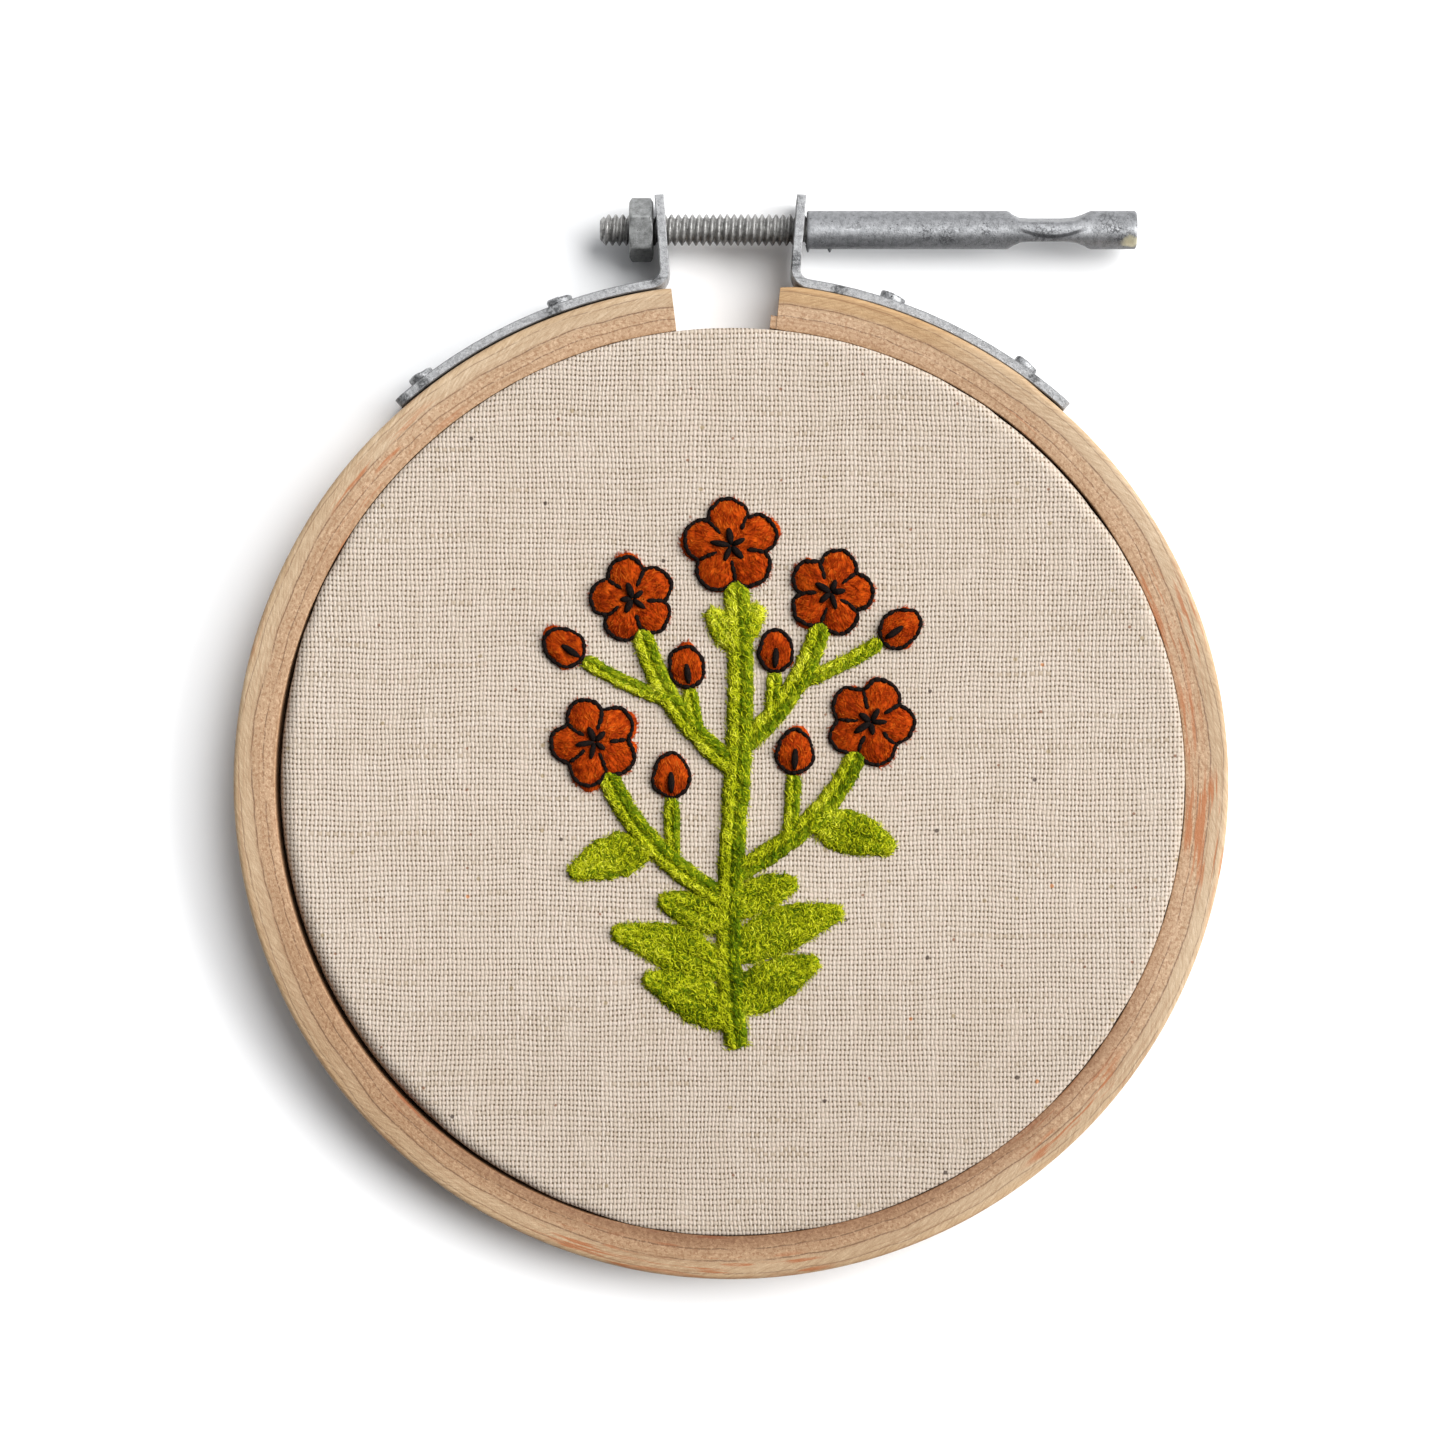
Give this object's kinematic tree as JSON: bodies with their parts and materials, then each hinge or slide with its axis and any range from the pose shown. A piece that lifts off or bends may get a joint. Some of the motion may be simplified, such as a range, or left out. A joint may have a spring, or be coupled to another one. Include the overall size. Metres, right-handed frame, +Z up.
{
  "type": "embroidery art in wooden hoop",
  "caption": "Embroidery art in a round beech hoop: natural linen stretched over the rings, stitched with a flower spray in green and rust-orange wool, tightened by a long clamp screw.",
  "frame": {"origin": "Bottom centre of the whole box, on the surface that the hoop lies on: in the plane of the rings' undersides, under the middle of the box over hoop and clamp screw.", "axes": "X runs along the clamp screw toward its tube handle, Y runs across the hoop toward the clamp screw, which is the top when it hangs, and Z points up, out of the embroidered face."},
  "size_m": [0.15, 0.1638, 0.0131],
  "materials": {
    "beech": "bare, sanded, laminated bent beech, pale yellow outside and pinkish brown inside",
    "inner_beech": "bare, sanded bent beech",
    "linen": "plain-woven natural linen with slubs and specks",
    "galvanised": "rough dull galvanised strip",
    "rivet_zinc": "zinc-plated rivet, a little dull",
    "rod_steel": "dull plated thread, dark in its grooves",
    "tube_steel": "zinc-plated tube, pitted and stained",
    "nut_steel": "dull zinc-plated hexagon nut",
    "green_wool": "fuzzy plied yellow-green wool stitching",
    "orange_wool": "dense rust-orange wool stitching with black outline thread"
  },
  "bodies": {
    "hoop": {"outer_ring": "beech", "inner_ring": "inner_beech", "cloth": "linen", "bracket_left": "galvanised", "bracket_right": "galvanised", "rivet_left_1": "rivet_zinc", "rivet_left_2": "rivet_zinc", "rivet_right_1": "rivet_zinc", "rivet_right_2": "rivet_zinc", "embroidery_greens": "green_wool", "blossom_1": "orange_wool", "blossom_2": "orange_wool", "blossom_3": "orange_wool", "blossom_4": "orange_wool", "blossom_5": "orange_wool", "bud_1": "orange_wool", "bud_2": "orange_wool", "bud_3": "orange_wool", "bud_4": "orange_wool", "bud_5": "orange_wool", "bud_6": "orange_wool"},
    "clamp_screw": {"threaded_rod": "rod_steel", "tube_handle": "tube_steel"},
    "nut": {"nut": "nut_steel"}
  },
  "joints": [
    {"name": "clamp_screw_spin", "type": "hinge", "parent": "hoop", "child": "clamp_screw", "pos_m": [0, 0.07687, 0.0055], "axis": [1, 0, 0], "continuous": true},
    {"name": "nut_spin", "type": "hinge", "parent": "clamp_screw", "child": "nut", "pos_m": [0, 0.07687, 0.0055], "axis": [1, 0, 0], "continuous": true}
  ]
}
